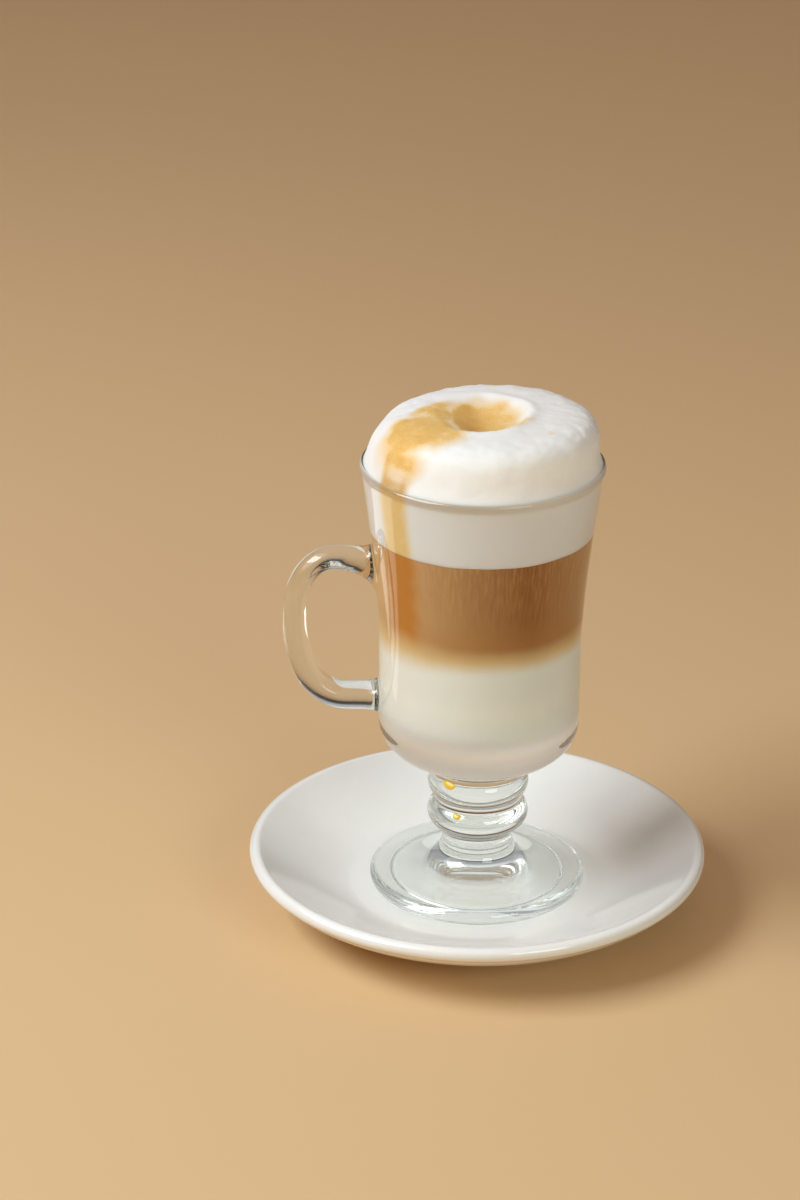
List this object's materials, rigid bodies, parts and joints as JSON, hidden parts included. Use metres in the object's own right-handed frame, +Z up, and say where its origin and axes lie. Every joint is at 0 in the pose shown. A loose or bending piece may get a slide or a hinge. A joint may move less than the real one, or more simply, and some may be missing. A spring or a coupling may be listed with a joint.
{
  "type": "glass of cappuccino",
  "caption": "Footed glass mug of layered cappuccino with milk, coffee and a domed, coffee-stained foam top, standing on a round white saucer.",
  "frame": {"origin": "middle of the saucer's foot ring, on the surface it stands on", "axes": "+Z up through the glass; the handle points towards -X"},
  "size_m": [0.148, 0.148, 0.1722],
  "materials": {
    "porcelain": "glossy white glaze",
    "clear_glass": "clear pressed glass",
    "milk": "warm white milk",
    "coffee": "milky brown coffee",
    "foam": "fine white milk foam"
  },
  "bodies": {
    "root": {"saucer": "porcelain", "glass_mug": "clear_glass", "milk": "milk", "coffee": "coffee", "foam": "foam"}
  },
  "joints": []
}
